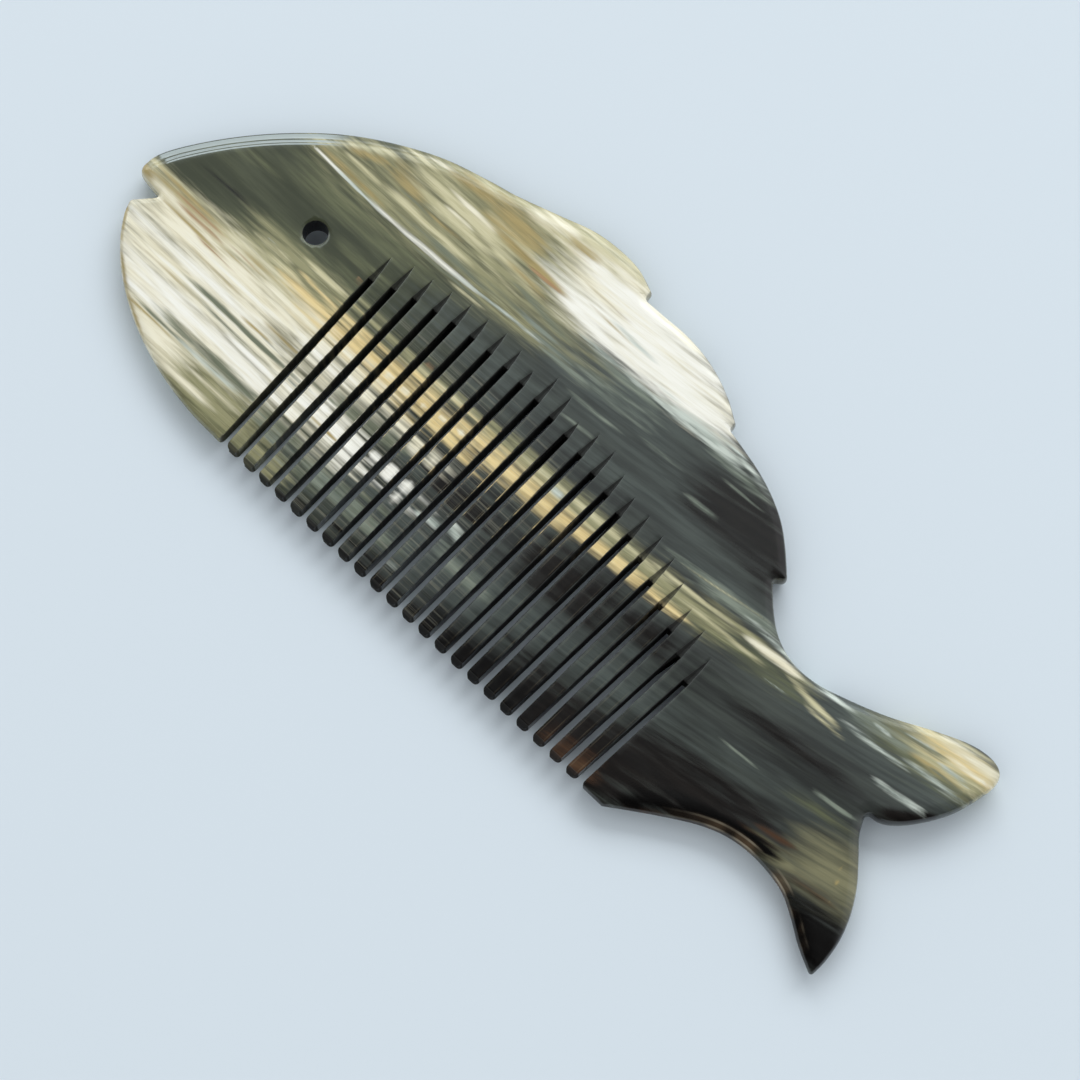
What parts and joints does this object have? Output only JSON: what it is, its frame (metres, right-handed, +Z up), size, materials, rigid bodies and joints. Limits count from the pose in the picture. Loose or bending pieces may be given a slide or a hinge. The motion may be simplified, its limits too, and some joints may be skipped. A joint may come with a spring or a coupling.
{
  "type": "comb",
  "caption": "Fish-shaped hair comb in one flat piece of polished horn, with teeth sawn into its belly, a drilled eye and a forked tail.",
  "frame": {"origin": "centre of the comb's bounding box, on the flat face that it lies on", "axes": "+X from the mouth to the tail, along the tooth line; +Y from the tooth tips to the back; +Z up through the thickness"},
  "size_m": [0.1554, 0.0628, 0.0042],
  "materials": {
    "polished_horn": "polished natural horn, dark olive grey with cream, amber and brown streaks along the grain"
  },
  "bodies": {
    "root": {"horn_comb": "polished_horn"}
  },
  "joints": []
}
